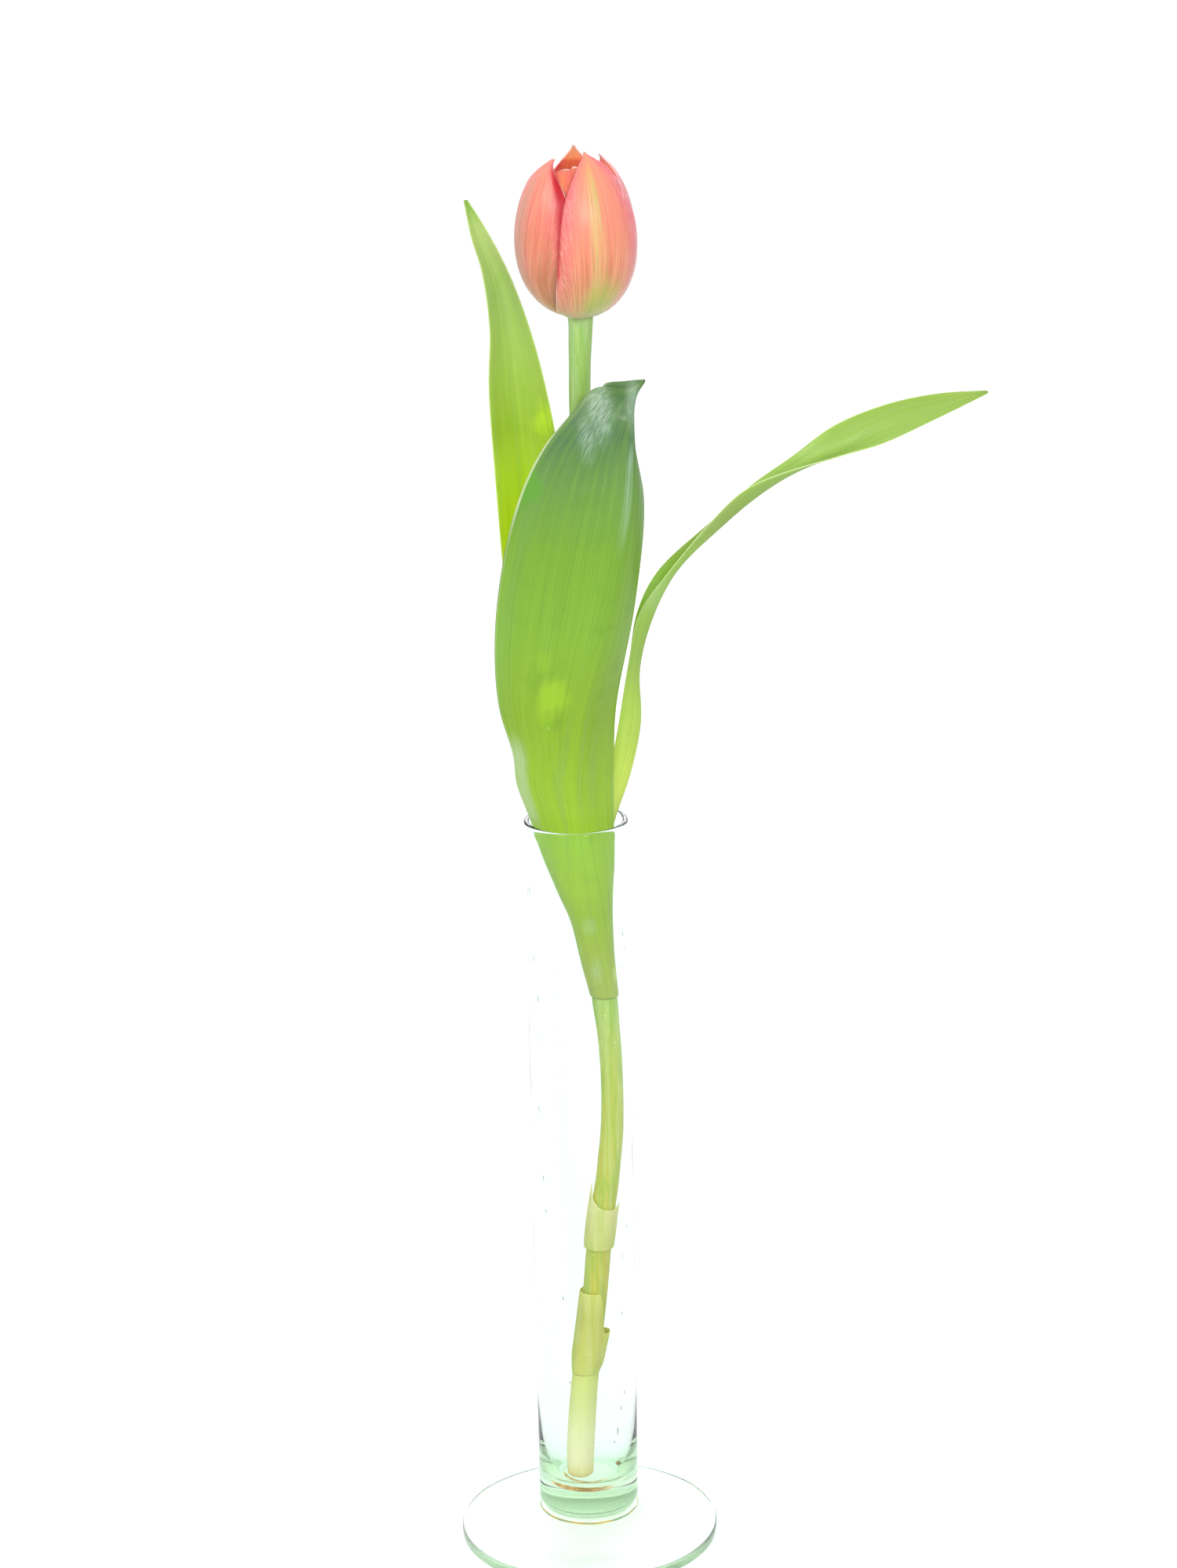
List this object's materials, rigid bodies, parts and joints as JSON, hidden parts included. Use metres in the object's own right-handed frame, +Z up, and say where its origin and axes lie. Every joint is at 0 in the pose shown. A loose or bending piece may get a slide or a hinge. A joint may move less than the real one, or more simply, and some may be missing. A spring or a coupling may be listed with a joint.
{
  "type": "double tulip in a glass vase",
  "caption": "Closed coral and orange double tulip on a long stem with broad leaves, standing in a tall narrow clear glass tube vase on a round disc foot.",
  "frame": {"origin": "centre of the underside of the vase's round foot", "axes": "+Z up along the vase's tube, +X to the viewer's right towards the long arching leaf, +Y away from the viewer"},
  "size_m": [0.1983, 0.098, 0.5331],
  "materials": {
    "glass": "clear recycled glass with a pale green tint, thick at the base",
    "stem": "living stem, satin green, paler and whiter at its lower end",
    "leaf": "living leaf, waxy grey-green bloom over bright green, fine lengthwise veins",
    "sheath": "thin pale dry sheath, slightly translucent",
    "petal": "living petal, coral to pink with a yellow-green flame, fine silky striations",
    "petal_inner": "living petal, soft orange",
    "pistil": "living pistil, pale green",
    "stamen": "stamens with pollen, dull yellow"
  },
  "bodies": {
    "root": {"vase": "glass", "stem": "stem", "leaf_front": "leaf", "leaf_left": "leaf", "leaf_right": "leaf", "stem_scale": "sheath", "stem_collar": "sheath", "petal_outer_right": "petal", "petal_outer_left": "petal", "petal_outer_back": "petal", "petal_inner_front": "petal_inner", "petal_inner_right": "petal_inner", "petal_inner_back": "petal_inner", "petal_core_1": "petal_inner", "petal_core_2": "petal_inner", "petal_core_3": "petal_inner", "petal_core_4": "petal_inner", "petal_core_5": "petal_inner", "petal_core_6": "petal_inner", "pistil": "pistil", "stamens": "stamen"}
  },
  "joints": []
}
